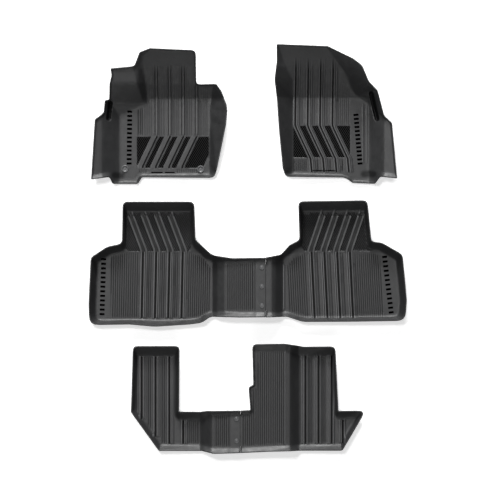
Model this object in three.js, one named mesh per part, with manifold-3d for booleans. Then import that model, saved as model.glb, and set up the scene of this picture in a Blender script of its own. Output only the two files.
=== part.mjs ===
// A set of moulded floor liners for a three-row car: two front trays, a second-row tray in two
// sections and a third-row tray in two sections, with the snap pins and retainer caps they use.
// Millimetres. +X is the car's right, +Y its front, +Z up. The set stands on z = 0.

import * as THREE from 'three';
import { mergeVertices } from 'three/addons/utils/BufferGeometryUtils.js';
import Module from 'manifold-3d';

const wasm = await Module();
wasm.setup();

// ---- Driving dimensions ----

const SHEET = 4; // thickness of the moulded rubber, measured straight down
const RIM = 4.5; // width of the flat top of a rim
const LIP = 4; // how much deeper a full-height rim is than the sheet
const FULL_RISE = 12; // the rise at which a rim has its whole lip
const GAP = 0.3; // between pieces that touch
const STEP = SHEET + GAP; // a flange lies this much above the tongue under it

const HUMP = 45; // height of the second-row centre hump
const DECK = 45; // height of the third-row centre deck
const FLANGE_RUN = 15; // length of the slope that lifts a flange
const FLANGE = 42; // length of a flange past that slope

const HOLE_R = 4.7; // hole for a snap pin
const PIN_R = 3.9;
const PIN_HEAD_R = 10;
const PIN_HEAD_H = 3;
const PIN_TIP_R = 4.3;
const PIN_LENGTH = 17;
const WASHER_R = 9;
const WASHER_H = 2;

const COLLAR_R = 11; // collar of a retainer cap
const CAP_R = 16.5;
const LOCK_R = 16;
const LOCK_H = 1.7;

const ROUND_SEGMENTS = 20;
const MIN_TURN = 0.12; // corners turning less than this, in radians, stay plain
const TURN_PER_STEP = 0.42; // how finely a rounded corner is divided, in radians
const FULLNESS = 1.15; // how far a rounded corner bulges toward its sharp one
const NEARLY_STRAIGHT = 0.3; // the sine below which a corner is moved inward as if straight
const SNAP_DISTANCE = 0.6; // a crease this close to a point runs through it

const PLACE = { driver: [-387, 582], passenger: [387, 590], second: [0, -65], third: [2, -658] };

// ---- Outlines ----
// Each corner is [x, y, radius, rise of the rim, width of the wall in plan], clockwise from the
// front left, in the mat's own frame. A width is one number, or [on the side before, on the side
// after].

const DRIVER = [
  [-86, 279, 10, 14, 18], [-40, 297, 12, 6, 7], [161, 288, 24, 4, 7], [162, 141, 16, 6, 7],
  [250, 143, 12, 12, [7, 16]], [273, 110, 30, 30, 50], [300, 41, 60, 46, 78],
  [293, -36, 120, 46, 70], [255, -221, 40, 38, 36], [242, -270, 30, 20, [24, 16]],
  [-77, -267, 10, 12, 12], [-95, -296, 12, 10, 12], [-207, -296, 12, 10, 12],
  [-219, -266, 14, 12, [12, 24]], [-300, -278, 4, 8, [20, 8]], [-292, -146, 0, 6, 8],
  [-284, -14, 12, 8, 8], [-245, 16, 20, 10, 8], [-240, 70, 6, 24, [20, 8]],
  [-221, 75, 6, 8, 8], [-218, 142, 8, 5, 8], [-209, 179, 15, 5, 8], [-213, 209, 4, 5, 8],
  [-109, 219, 20, 8, [8, 16]],
];

const PASSENGER = [
  [-260, 307, 6, 4, 7], [-35, 298, 12, 6, 8], [77, 242, 40, 60, [60, 75]],
  [114, 213, 25, 72, 76], [145, 143, 15, 76, 80], [184, 106, 10, 40, [66, 36]],
  [213, -4, 20, 14, [30, 8]], [248, -37, 14, 8, 8], [270, -281, 4, 8, [8, 22]],
  [196, -273, 14, 12, [22, 12]], [174, -304, 10, 10, 12], [73, -299, 14, 10, 12],
  [42, -276, 30, 10, 12], [-220, -273, 26, 22, [14, 30]], [-233, -233, 20, 42, 44],
  [-249, -66, 100, 46, 62], [-258, 66, 100, 44, 72], [-269, 154, 60, 34, 80],
  [-259, 233, 60, 10, 30],
];

const SECOND_SEAM = 80; // x of the flange's edge
const SECOND_LEFT = [
  [-548, 273, 26, 58, [12, 42]], [-233, 273, 26, 58, [42, 14]], [-228, 105, 28, 50, [14, 28]],
  [-155, 38, 35, 36, 30], [-69, 25, 60, 18, 17], [SECOND_SEAM, 27, 2, 12, [15, 7]],
  [SECOND_SEAM, 10, 0, 0, 7], [SECOND_SEAM, -211, 0, 0, 7],
  [SECOND_SEAM, -235, 2, 12, [7, 22]], [-34, -236, 60, 15, 22], [-162, -233, 25, 26, 22],
  [-201, -260, 40, 36, 22], [-254, -267, 100, 36, 20], [-408, -277, 150, 38, 28],
  [-518, -267, 150, 36, 20], [-696, -270, 75, 40, [20, 26]], [-698, -173, 100, 48, 28],
  [-689, 28, 28, 52, [28, 34]], [-617, 75, 50, 52, 34], [-551, 89, 25, 52, [34, 12]],
];

const SECOND_BUTT = SECOND_SEAM + 0.4; // x where the right section comes up beside the flange
const SECOND_TONGUE = [40, -3, -206]; // left edge, front edge and rear edge of the tongue
const SECOND_RIGHT = [
  [SECOND_BUTT, 28, 2, 12, [7, 15]], [146, 40, 25, 26, 20], [184, 82, 18, 42, 30],
  [228, 105, 20, 50, [28, 12]], [222, 274, 24, 58, [12, 44]], [526, 279, 26, 58, [44, 14]],
  [544, 97, 22, 52, [14, 32]], [588, 94, 40, 52, 34], [681, 41, 30, 52, [34, 28]],
  [690, -50, 100, 50, 28], [700, -160, 60, 46, 28], [694, -251, 62, 40, [28, 20]],
  [450, -255, 200, 36, 20], [243, -256, 60, 32, 20], [173, -233, 25, 22, 22],
  [SECOND_BUTT, -236, 2, 12, [22, 7]], ...tongue(SECOND_BUTT, SECOND_TONGUE),
];

const THIRD_SEAM = -34;
const THIRD_LEFT = [
  [-506, 232, 24, 46, [16, 46]], [-300, 232, 22, 46, [46, 15]], [-302, -56, 6, 40, [15, 40]],
  [-207, -57, 10, 30, 36], [-180, -53, 10, 18, 22], [THIRD_SEAM, -51, 2, 12, [20, 7]],
  [THIRD_SEAM, -73, 0, 0, 7], [THIRD_SEAM, -214, 0, 0, 7],
  [THIRD_SEAM, -238, 2, 12, [7, 22]], [-150, -242, 40, 16, 24], [-202, -230, 20, 22, 26],
  [-392, -230, 10, 28, [26, 20]], [-515, -59, 14, 32, [20, 16]], [-512, 15, 0, 36, 16],
];

const THIRD_BUTT = THIRD_SEAM + 0.6;
const THIRD_TONGUE = [-75, -68, -209];
const THIRD_RIGHT = [
  [THIRD_BUTT, -51, 2, 12, [7, 20]], [10, -49, 4, 12, [20, 8]], [2, 51, 14, 10, 8],
  [23, 62, 4, 10, 8], [18, 240, 24, 14, [8, 26]], [163, 243, 60, 16, 30],
  [246, 229, 60, 34, 44], [384, 231, 26, 46, [44, 15]], [398, -53, 4, 36, [15, 34]],
  [519, -52, 22, 28, [34, 18]], [415, -229, 14, 28, [18, 26]], [229, -229, 100, 24, 26],
  [97, -232, 100, 14, 24], [THIRD_BUTT, -238, 2, 12, [22, 7]],
  ...tongue(THIRD_BUTT, THIRD_TONGUE),
];

function tongue(butt, [left, front, rear]) {
  const width = 7;
  return [
    [butt, rear, 0, 0, width], [left, rear, 4, 0, width],
    [left, front, 4, 0, width], [butt, front, 0, 0, width],
  ];
}

// ---- The shape of the floor inside each outline ----

// Height at `at` on a line of slopes through the given [position, height] knots.
function slopes(at, knots) {
  if (at <= knots[0][0]) return knots[0][1];
  for (let i = 1; i < knots.length; i += 1) {
    const [a, low] = knots[i - 1];
    const [b, high] = knots[i];
    if (at <= b) return low + ((high - low) * (at - a)) / (b - a);
  }
  return knots[knots.length - 1][1];
}

const DRIVER_TOE = [[82, 0], [140, 44], [219, 94], [300, 130]];
const DRIVER_SILL = [[-299, 53], [-279, 52], [-251, 47], [-178, 0]];
const SILL_FOOT = -178;

// The wheel well stands over the front left of the driver's floor. It falls to the toe-board
// between two lines that run forward and outward, and a low wedge leads up to its face.
const WHEEL_WELL = [[56, 0], [144, 92], [210, 108], [300, 128]];
const WELL_FACE = WHEEL_WELL[0][0];
const WELL_BROW = WHEEL_WELL[1][0];
const wellFoot = (y) => -55 - 0.083 * (y - WELL_FACE);
const wellTop = (y) => -69 - 0.3 * (y - WELL_FACE);
const WEDGE = [[SILL_FOOT, 3], [wellTop(WELL_FACE), WELL_FACE]];
const WEDGE_SLOPE = 0.35;

function wedge(x, y) {
  const [[x0, y0], [x1, y1]] = WEDGE;
  const away = ((x1 - x0) * (y - y0) - (y1 - y0) * (x - x0)) / Math.hypot(x1 - x0, y1 - y0);
  return WEDGE_SLOPE * Math.max(0, away);
}

function driverFloor(x, y) {
  const toe = slopes(y, DRIVER_TOE);
  const fade = THREE.MathUtils.clamp((WELL_BROW - y) / (WELL_BROW - WELL_FACE), 0, 1);
  const front = slopes(y, WHEEL_WELL) + fade * wedge(x, Math.min(y, WELL_FACE));
  const share = THREE.MathUtils.clamp((wellFoot(y) - x) / (wellFoot(y) - wellTop(y)), 0, 1);
  return Math.max(toe + share * (front - toe), slopes(x, DRIVER_SILL));
}

const PASSENGER_TOE = [[77, 0], [207, 86], [305, 128]];
const PASSENGER_SILL = [[147, 0], [213, 45], [244, 49], [268, 50]];

function passengerFloor(x, y) {
  return Math.max(slopes(y, PASSENGER_TOE), slopes(x, PASSENGER_SILL));
}

const FOOTWELL_FRONT = [[47, 0], [78, 6], [228, 26]]; // the second row rises a little to the front
const LEFT_HUMP = [
  [-153, 0], [-135, 22], [-100, HUMP - 4], [-34, HUMP],
  [SECOND_SEAM - FLANGE - FLANGE_RUN, HUMP], [SECOND_SEAM - FLANGE, HUMP + STEP],
];
const RIGHT_HUMP = [[107, HUMP], [124, HUMP - 9], [153, 2], [160, 0]];

function secondLeftFloor(x, y) {
  return Math.max(slopes(y, FOOTWELL_FRONT), slopes(x, LEFT_HUMP));
}

function secondRightFloor(x, y) {
  return Math.max(slopes(y, FOOTWELL_FRONT), slopes(x, RIGHT_HUMP));
}

const LEFT_DECK = [
  [-211, 0], [-189, 20], [-158, DECK - 2], [-110, DECK],
  [THIRD_SEAM - FLANGE - FLANGE_RUN, DECK], [THIRD_SEAM - FLANGE, DECK + STEP],
];
const RIGHT_DECK = [[185, DECK], [224, 0]];

function thirdLeftFloor(x) {
  return slopes(x, LEFT_DECK);
}

function thirdRightFloor(x) {
  return slopes(x, RIGHT_DECK);
}

// Straight lines where a floor bends, each as two ends.
function across(y, from = -400, to = 400) {
  return [[from, y], [to, y]];
}

function along(x, from = -400, to = 400) {
  return [[x, from], [x, to]];
}

const WEDGE_MEETS_SILL = [[SILL_FOOT, WEDGE[0][1]], [-212, WELL_FACE], [-226, 65]];
const DRIVER_CREASES = [
  [[wellFoot(WELL_FACE), WELL_FACE], [wellFoot(300), 300]],
  [[wellTop(WELL_FACE), WELL_FACE], [wellTop(300), 300]],
  across(WELL_FACE, -400, wellFoot(WELL_FACE)),
  ...DRIVER_TOE.slice(0, 3).map(([y]) => across(y, wellTop(y))),
  ...WHEEL_WELL.slice(1, 3).map(([y]) => across(y, -400, wellFoot(y))),
  ...DRIVER_SILL.slice(1, 3).map(([x]) => along(x, -310, 20)),
  along(SILL_FOOT, -310, WEDGE[0][1]),
  WEDGE,
  WEDGE_MEETS_SILL.slice(0, 2),
  WEDGE_MEETS_SILL.slice(1),
];
const PASSENGER_CREASES = [
  ...PASSENGER_TOE.slice(0, 2).map(([y]) => across(y)),
  ...PASSENGER_SILL.slice(0, 3).map(([x]) => along(x, -310, PASSENGER_TOE[0][0])),
];
const SECOND_LEFT_CREASES = [
  ...FOOTWELL_FRONT.map(([y]) => across(y, -720, -200)),
  ...LEFT_HUMP.map(([x]) => along(x)),
];
const SECOND_RIGHT_CREASES = [
  ...FOOTWELL_FRONT.map(([y]) => across(y, 200, 720)),
  ...RIGHT_HUMP.map(([x]) => along(x)),
];
const THIRD_LEFT_CREASES = LEFT_DECK.map(([x]) => along(x));
const THIRD_RIGHT_CREASES = RIGHT_DECK.map(([x]) => along(x));

// ---- Trays ----

const minus = (a, b) => [a[0] - b[0], a[1] - b[1]];
const moved = (p, d, s) => [p[0] + d[0] * s, p[1] + d[1] * s];
const dot = (a, b) => a[0] * b[0] + a[1] * b[1];
const crossed = (a, b) => a[0] * b[1] - a[1] * b[0];
const unit = (a) => moved([0, 0], a, 1 / Math.hypot(...a));
const inward = (d) => [d[1], -d[0]]; // the outlines run clockwise

// Where a corner goes when the sides before and after it move inward by the two distances.
function insetCorner(at, before, after, [nearer, further]) {
  const a = inward(before);
  const b = inward(after);
  const sine = crossed(a, b);
  if (Math.abs(sine) < NEARLY_STRAIGHT) {
    const middle = unit([a[0] + b[0], a[1] + b[1]]);
    return moved(at, middle, (nearer + further) / 2);
  }
  const fromA = dot(at, a) + nearer;
  const fromB = dot(at, b) + further;
  return [(fromA * b[1] - fromB * a[1]) / sine, (fromB * a[0] - fromA * b[0]) / sine];
}

// One closed ring of points: the outline moved inward by each corner's distances, with its corners
// rounded. Rings of one outline have the same number of points.
function ring(corners, distances) {
  const count = corners.length;
  const at = (i) => corners[(i + count) % count];
  const sides = corners.map((corner, i) => unit(minus(at(i + 1), corner)));
  const placed = corners.map((corner, i) =>
    insetCorner(corner, sides[(i + count - 1) % count], sides[i], distances(corner)));
  const points = [];
  corners.forEach(([, , radius, rise], i) => {
    const before = sides[(i + count - 1) % count];
    const turn = Math.atan2(crossed(before, sides[i]), dot(before, sides[i]));
    const size = Math.abs(turn);
    if (radius === 0 || size < MIN_TURN) {
      points.push({ at: placed[i], rise });
      return;
    }
    const here = placed[i];
    const last = placed[(i + count - 1) % count];
    const next = placed[(i + 1) % count];
    const inset = distances(corners[i]).reduce((a, b) => a + b) / 2;
    const bend = turn < 0 ? radius - inset : radius + inset;
    const room = 0.45 * Math.min(Math.hypot(...minus(here, last)), Math.hypot(...minus(next, here)));
    const tangent = Math.min(Math.max(bend, 2) * Math.tan(size / 2), room);
    const start = moved(here, unit(minus(last, here)), tangent);
    const end = moved(here, unit(minus(next, here)), tangent);
    const steps = Math.max(1, Math.round(size / TURN_PER_STEP));
    for (let k = 0; k <= steps; k += 1) {
      const t = k / steps;
      const [a, b, c] = [(1 - t) ** 2, 2 * FULLNESS * t * (1 - t), t ** 2];
      const sum = a + b + c;
      points.push({
        at: [0, 1].map((n) => (a * start[n] + b * here[n] + c * end[n]) / sum),
        rise,
      });
    }
  });
  return points;
}

const pair = (width) => (Array.isArray(width) ? width : [width, width]);

// The tray seen from above, as triangles: a flat rim, the wall, and the floor. `rise` is how far
// a point stands above the floor's own shape, and `lip` how much thicker the sheet is there.
function trayPlan(corners) {
  const rings = [
    ring(corners, () => [0, 0]),
    ring(corners, () => [RIM, RIM]),
    ring(corners, ([, , , , width]) => pair(width)),
  ];
  const count = rings[0].length;
  const points = rings.flatMap((loop, level) => loop.map(({ at, rise }) => ({
    at,
    rise: level === 2 ? 0 : rise,
    lip: level === 2 ? 0 : LIP * Math.min(1, rise / FULL_RISE),
  })));
  const triangles = [];
  for (let level = 0; level < 2; level += 1) {
    for (let i = 0; i < count; i += 1) {
      const [a, b] = [i, (i + 1) % count].map((n) => level * count + n);
      triangles.push([a, a + count, b], [b, a + count, b + count]);
    }
  }
  const contour = rings[2].map(({ at }) => new THREE.Vector2(...at));
  for (const face of THREE.ShapeUtils.triangulateShape(contour, [])) {
    const [a, b, c] = face.map((n) => n + 2 * count);
    const [p, q, r] = [a, b, c].map((n) => points[n].at);
    triangles.push(crossed(minus(q, p), minus(r, p)) > 0 ? [a, b, c] : [a, c, b]);
  }
  return { points, triangles };
}

// Adds a point inside the plan, unless one is there already.
function anchor(plan, at) {
  if (plan.points.some((point) => Math.hypot(...minus(point.at, at)) < SNAP_DISTANCE)) return;
  const index = plan.triangles.findIndex((face) => face.every((n, k) => {
    const from = plan.points[n].at;
    return crossed(minus(plan.points[face[(k + 1) % 3]].at, from), minus(at, from)) > 0;
  }));
  if (index < 0) return;
  const [a, b, c] = plan.triangles[index];
  const [p, q, r] = [a, b, c].map((n) => plan.points[n]);
  const whole = crossed(minus(q.at, p.at), minus(r.at, p.at));
  const weights = [[q, r], [r, p], [p, q]].map(([m, n]) =>
    crossed(minus(n.at, m.at), minus(at, m.at)) / whole);
  const mix = (key) => weights[0] * p[key] + weights[1] * q[key] + weights[2] * r[key];
  const made = plan.points.length;
  plan.points.push({ at, rise: mix('rise'), lip: mix('lip') });
  plan.triangles.splice(index, 1, [a, b, made], [b, c, made], [c, a, made]);
}

// Splits the plan's triangles along a straight line between two ends, so that a bend can lie there.
function crease(plan, [start, end]) {
  anchor(plan, start);
  anchor(plan, end);
  const way = minus(end, start);
  const reach = Math.hypot(...way);
  const side = plan.points.map(({ at }) => crossed(way, minus(at, start)) / reach)
    .map((s) => (Math.abs(s) < SNAP_DISTANCE ? 0 : s));
  const cuts = new Map();
  const cut = (a, b) => {
    if (side[a] * side[b] >= 0) return -1;
    const key = a < b ? `${a},${b}` : `${b},${a}`;
    if (!cuts.has(key)) {
      const [p, q] = a < b ? [a, b] : [b, a];
      const t = side[p] / (side[p] - side[q]);
      const mix = (m, n) => m + (n - m) * t;
      const [from, to] = [plan.points[p], plan.points[q]];
      const at = [0, 1].map((n) => mix(from.at[n], to.at[n]));
      const share = dot(minus(at, start), way) / reach ** 2;
      if (share < 0 || share > 1) {
        cuts.set(key, -1);
      } else {
        cuts.set(key, plan.points.length);
        plan.points.push({ at, rise: mix(from.rise, to.rise), lip: mix(from.lip, to.lip) });
      }
    }
    return cuts.get(key);
  };
  plan.triangles = plan.triangles.flatMap((face) => {
    const made = [0, 1, 2].map((k) => cut(face[k], face[(k + 1) % 3]));
    const hits = made.filter((m) => m >= 0).length;
    if (hits === 0) return [face];
    const first = hits === 1 ? made.findIndex((m) => m >= 0) : (made.indexOf(-1) + 1) % 3;
    const [a, b, c] = [0, 1, 2].map((k) => face[(first + k) % 3]);
    const [ab, bc] = [made[first], made[(first + 1) % 3]];
    if (hits === 1) return [[a, ab, c], [ab, b, c]];
    return [[ab, b, bc], [a, ab, bc], [a, bc, c]];
  });
}

// The solid of a plan: its top follows floor(x, y), and its underside lies the sheet's thickness
// below.
function raise(plan, floor) {
  const { points, triangles } = plan;
  const count = points.length;
  const tops = points.map(({ at, rise }) => SHEET + floor(...at) + rise);
  const positions = [
    ...points.flatMap(({ at }, i) => [...at, tops[i]]),
    ...points.flatMap(({ at, lip }, i) => [...at, tops[i] - SHEET - lip]),
  ];
  const directed = new Set(triangles.flatMap(([a, b, c]) => [`${a},${b}`, `${b},${c}`, `${c},${a}`]));
  const faces = triangles.flatMap(([a, b, c]) => [a, b, c, c + count, b + count, a + count]);
  for (const edge of directed) {
    const [a, b] = edge.split(',').map(Number);
    if (!directed.has(`${b},${a}`)) faces.push(b, a, a + count, b, a + count, b + count);
  }
  const geometry = new THREE.BufferGeometry();
  geometry.setAttribute('position', new THREE.Float32BufferAttribute(positions, 3));
  geometry.setIndex(faces);
  return geometry;
}

function tray(corners, creases, floor) {
  const plan = trayPlan(corners);
  for (const line of creases) crease(plan, line);
  return raise(plan, floor);
}

// ---- Holes ----

function solid(geometry) {
  const bare = geometry.clone();
  for (const name of ['normal', 'uv']) bare.deleteAttribute(name);
  const merged = mergeVertices(bare, 1e-4);
  return new wasm.Manifold(new wasm.Mesh({
    numProp: 3,
    vertProperties: new Float32Array(merged.attributes.position.array),
    triVerts: new Uint32Array(merged.index.array),
  }));
}

function surface(manifold) {
  const mesh = manifold.getMesh();
  const geometry = new THREE.BufferGeometry();
  geometry.setAttribute('position', new THREE.BufferAttribute(mesh.vertProperties, 3));
  geometry.setIndex(new THREE.BufferAttribute(mesh.triVerts, 1));
  return geometry;
}

// Cuts upright round holes, each { at: [x, y], radius, low, high }.
function drill(geometry, holes) {
  let body = solid(geometry);
  for (const { at, radius, low, high } of holes) {
    const bit = new THREE.CylinderGeometry(radius, radius, high - low, ROUND_SEGMENTS);
    bit.rotateX(Math.PI / 2);
    bit.translate(...at, (low + high) / 2);
    body = body.subtract(solid(bit));
  }
  return surface(body);
}

// ---- Fasteners ----

// A turned piece from its profile of [radius, height] points, listed upward along its outside.
function turned(profile) {
  const outline = profile.map(([r, z]) => new THREE.Vector2(r, z));
  const geometry = new THREE.LatheGeometry(outline, ROUND_SEGMENTS);
  geometry.rotateX(Math.PI / 2);
  return geometry;
}

// A snap pin, its head's underside at z = 0.
function snapPin() {
  const tip = -PIN_LENGTH;
  return turned([
    [0, tip], [PIN_TIP_R - 1.5, tip], [PIN_TIP_R, tip + 2], [PIN_TIP_R, tip + 3.5],
    [PIN_R, tip + 4.5], [PIN_R, 0], [PIN_HEAD_R, 0], [PIN_HEAD_R, PIN_HEAD_H - 1.4],
    [PIN_HEAD_R - 1.8, PIN_HEAD_H - 0.2], [6, PIN_HEAD_H - 0.9], [3.5, PIN_HEAD_H],
    [0, PIN_HEAD_H + 0.3],
  ]);
}

// A flat ring standing on z = 0.
function flatRing(inner, outer, height) {
  return turned([[inner, 0], [outer, 0], [outer, height], [inner, height], [inner, 0]]);
}

// A dished cap on a collar that reaches down through the sheet, its flange's underside at z = 0.
function retainerCap() {
  return turned([
    [0, -SHEET], [COLLAR_R, -SHEET], [COLLAR_R, 0], [CAP_R, 0], [CAP_R, 1.2], [CAP_R - 1.3, 3.4],
    [CAP_R - 3.3, 4], [CAP_R - 5.3, 3.2], [CAP_R - 8, 0.8], [4.5, 0.2], [2.5, 1], [0, 1.4],
  ]);
}

// ---- The set ----

const RUBBER = { color: 0x2b2c2e, roughness: 0.82, metalness: 0 };
const PLASTIC = { color: 0x232425, roughness: 0.5, metalness: 0 };

const set = new THREE.Group();

function add(name, geometry, finish, [x, y], z = 0) {
  const mesh = new THREE.Mesh(geometry, new THREE.MeshStandardMaterial({ name, ...finish }));
  mesh.name = name;
  mesh.position.set(x, y, z);
  set.add(mesh);
}

const plus = ([a, b], [c, d]) => [a + c, b + d];

const SECOND_PINS = [-16, -99, -184].map((y) => [SECOND_SEAM - 17, y]);
const THIRD_PINS = [-88, -185].map((y) => [THIRD_SEAM - 16, y]);
const CAPS = [[-152, -229], [181, -231]];

function pinHoles(pins) {
  return pins.map((at) => ({ at, radius: HOLE_R, low: 20, high: 80 }));
}

function capHoles() {
  return CAPS.flatMap((at) => [
    { at, radius: COLLAR_R + GAP, low: -5, high: 20 },
    { at, radius: LOCK_R + GAP, low: -5, high: LOCK_H + GAP },
  ]);
}

function addTray(name, place, corners, creases, floor, holes = []) {
  const geometry = tray(corners, creases, floor);
  add(name, holes.length ? drill(geometry, holes) : geometry, RUBBER, place);
}

function addPins(name, place, pins, height) {
  pins.forEach((at, i) => {
    add(`${name}_snap_pin_${i + 1}`, snapPin(), PLASTIC, plus(place, at), height + SHEET + STEP + GAP);
    const washer = flatRing(HOLE_R, WASHER_R, WASHER_H);
    add(`${name}_snap_washer_${i + 1}`, washer, PLASTIC, plus(place, at), height - WASHER_H - GAP);
  });
}

addTray('driver_mat', PLACE.driver, DRIVER, DRIVER_CREASES, driverFloor, capHoles());
addTray('passenger_mat', PLACE.passenger, PASSENGER, PASSENGER_CREASES, passengerFloor);
addTray('second_row_left_mat', PLACE.second, SECOND_LEFT, SECOND_LEFT_CREASES, secondLeftFloor,
  pinHoles(SECOND_PINS));
addTray('second_row_right_mat', PLACE.second, SECOND_RIGHT, SECOND_RIGHT_CREASES,
  secondRightFloor, pinHoles(SECOND_PINS));
addTray('third_row_left_mat', PLACE.third, THIRD_LEFT, THIRD_LEFT_CREASES, thirdLeftFloor,
  pinHoles(THIRD_PINS));
addTray('third_row_right_mat', PLACE.third, THIRD_RIGHT, THIRD_RIGHT_CREASES, thirdRightFloor,
  pinHoles(THIRD_PINS));
addPins('second_row', PLACE.second, SECOND_PINS, HUMP);
addPins('third_row', PLACE.third, THIRD_PINS, DECK);
CAPS.forEach((at, i) => {
  const side = ['left', 'right'][i];
  const place = plus(PLACE.driver, at);
  add(`${side}_retainer_cap`, retainerCap(), PLASTIC, place, SHEET + GAP);
  add(`${side}_lock_ring`, flatRing(COLLAR_R + GAP, LOCK_R, LOCK_H), PLASTIC, place);
});

// The origin is the middle of the set's footprint, on the ground.
set.updateMatrixWorld(true);
const middle = new THREE.Box3().setFromObject(set).getCenter(new THREE.Vector3());
set.position.set(-middle.x, -middle.y, 0);

export default set;
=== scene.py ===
"""A set of moulded rubber floor liners for a three-row car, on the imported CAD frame.

Each mat's sheet is built over the CAD mat's own plan: the CAD gives every height, and the ribs,
grooves, knurled pads and pockets moulded into the rubber are added to it as real geometry.
Mat detail is written in millimetres in the mat's own frame: +X right, +Y front.
"""
import math

import bmesh
import bpy
import numpy as np
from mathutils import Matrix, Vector
from mathutils.bvhtree import BVHTree
from mathutils.geometry import delaunay_2d_cdt


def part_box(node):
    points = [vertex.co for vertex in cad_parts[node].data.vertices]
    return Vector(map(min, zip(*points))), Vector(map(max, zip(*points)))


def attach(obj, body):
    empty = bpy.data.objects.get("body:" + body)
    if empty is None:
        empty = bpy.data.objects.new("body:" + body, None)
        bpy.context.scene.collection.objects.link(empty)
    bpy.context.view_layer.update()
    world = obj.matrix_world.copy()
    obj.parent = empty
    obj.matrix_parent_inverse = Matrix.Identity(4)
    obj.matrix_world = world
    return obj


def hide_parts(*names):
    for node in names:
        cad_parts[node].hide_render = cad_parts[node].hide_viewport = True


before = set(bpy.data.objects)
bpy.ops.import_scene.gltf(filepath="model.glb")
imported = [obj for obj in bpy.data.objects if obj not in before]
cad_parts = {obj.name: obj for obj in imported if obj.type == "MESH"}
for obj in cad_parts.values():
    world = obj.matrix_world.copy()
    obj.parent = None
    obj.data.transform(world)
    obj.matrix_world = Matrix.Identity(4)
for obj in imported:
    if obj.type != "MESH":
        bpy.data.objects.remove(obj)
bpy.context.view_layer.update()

MM = 0.001


# ---- Where each mat's own frame lies ----


def middle(node):
    low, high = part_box(node)
    return np.array([low.x + high.x, low.y + high.y]) / 2 / MM


CAPS = [(-152, -229), (181, -231)]
FRONT = middle("left_retainer_cap") - CAPS[0]
SECOND = middle("second_row_snap_pin_1") - (63, -16)
THIRD = middle("third_row_snap_pin_1") - (-50, -88)
ORIGIN = {
    "driver_mat": FRONT,
    "passenger_mat": FRONT + (774, 8),
    "second_row_left_mat": SECOND,
    "second_row_right_mat": SECOND,
    "third_row_left_mat": THIRD,
    "third_row_right_mat": THIRD,
}


# ---- Plan geometry ----


def edges_of(loop):
    start = np.asarray(loop, float)
    return start, np.roll(start, -1, axis=0)


def in_chunks(function, points, size=4000):
    points = np.asarray(points, float)
    if len(points) == 0:
        return np.zeros(0)
    return np.concatenate(
        [function(points[i : i + size]) for i in range(0, len(points), size)]
    )


def clearance(points, loops):
    """Distance from each point to the nearest side of any of the closed loops."""
    a = np.concatenate([edges_of(loop)[0] for loop in loops])
    b = np.concatenate([edges_of(loop)[1] for loop in loops])
    way = b - a
    long = np.maximum((way**2).sum(1), 1e-12)

    def nearest(part):
        gap = part[:, None, :] - a[None]
        share = np.clip((gap * way).sum(2) / long, 0, 1)
        return np.sqrt(((gap - share[..., None] * way) ** 2).sum(2).min(1))

    return in_chunks(nearest, points)


def inside(points, loop):
    """1 where a point is inside a closed loop, otherwise 0."""
    a, b = edges_of(loop)

    def crossings(part):
        x, y = part[:, :1], part[:, 1:]
        spans = (a[:, 1] > y) != (b[:, 1] > y)
        rise = np.where(b[:, 1] == a[:, 1], 1.0, b[:, 1] - a[:, 1])
        at = a[:, 0] + (y - a[:, 1]) * (b[:, 0] - a[:, 0]) / rise
        return ((spans & (x < at)).sum(1) % 2).astype(float)

    return in_chunks(crossings, points)


def depth_inside(points, loop):
    """Distance to a loop's sides, positive inside it and negative outside."""
    return clearance(points, [loop]) * (2 * inside(points, loop) - 1)


def inset(loop, distance):
    """A closed anticlockwise loop moved inward."""
    here = np.asarray(loop, float)
    before = here - np.roll(here, 1, axis=0)
    after = np.roll(here, -1, axis=0) - here
    turn = before / np.linalg.norm(before, axis=1)[:, None]
    turn = turn + after / np.linalg.norm(after, axis=1)[:, None]
    turn /= np.maximum(np.linalg.norm(turn, axis=1)[:, None], 1e-6)
    side = after / np.linalg.norm(after, axis=1)[:, None]
    cosine = np.clip((turn * side).sum(1), 0.5, 1)
    inward = np.stack([-turn[:, 1], turn[:, 0]], 1)
    return here + inward * (distance / cosine)[:, None]


def closed(loop):
    """A loop with its first point again at the end."""
    return np.vstack([loop, loop[:1]])


def circle(centre, radius, count=40):
    turn = np.arange(count) * 2 * math.pi / count
    return np.stack(
        [centre[0] + radius * np.cos(turn), centre[1] + radius * np.sin(turn)], 1
    )


def area(loop):
    a, b = edges_of(loop)
    return float((a[:, 0] * b[:, 1] - b[:, 0] * a[:, 1]).sum() / 2)


def resample(path, step):
    """The points of a path, with more between them so that none are further apart than step."""
    points = [np.asarray(path[0], float)]
    for at in np.asarray(path[1:], float):
        count = max(1, math.ceil(np.linalg.norm(at - points[-1]) / step))
        start = points[-1]
        points += [start + (at - start) * (k + 1) / count for k in range(count)]
    return np.array(points)


# ---- The CAD mats, as heights over a plan ----


SAME_POINT = 0.02  # vertices of the CAD mesh closer than this are one
FACING = 0.02  # the least upright part that the normal of a face on the upper side has
LEAST_FACE = 0.01  # area, in square millimetres, below which a face of the CAD mesh is left out
CREASE = 0.03  # the least bend between two faces, in radians, that the visible mesh is held to
SOFT_TURNS = np.arange(6) * math.pi / 3 + 0.2  # the directions a bend is softened in
SOFT_SHARE = 0.6  # of a softened height that comes from the heights around it


def chains(follow):
    """The closed chains in a table of what comes after what, which it empties."""
    while follow:
        start, here = next(iter(follow.items()))
        chain = [start]
        del follow[start]
        while here != start and here in follow:
            chain.append(here)
            here = follow.pop(here)
        yield chain


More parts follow.
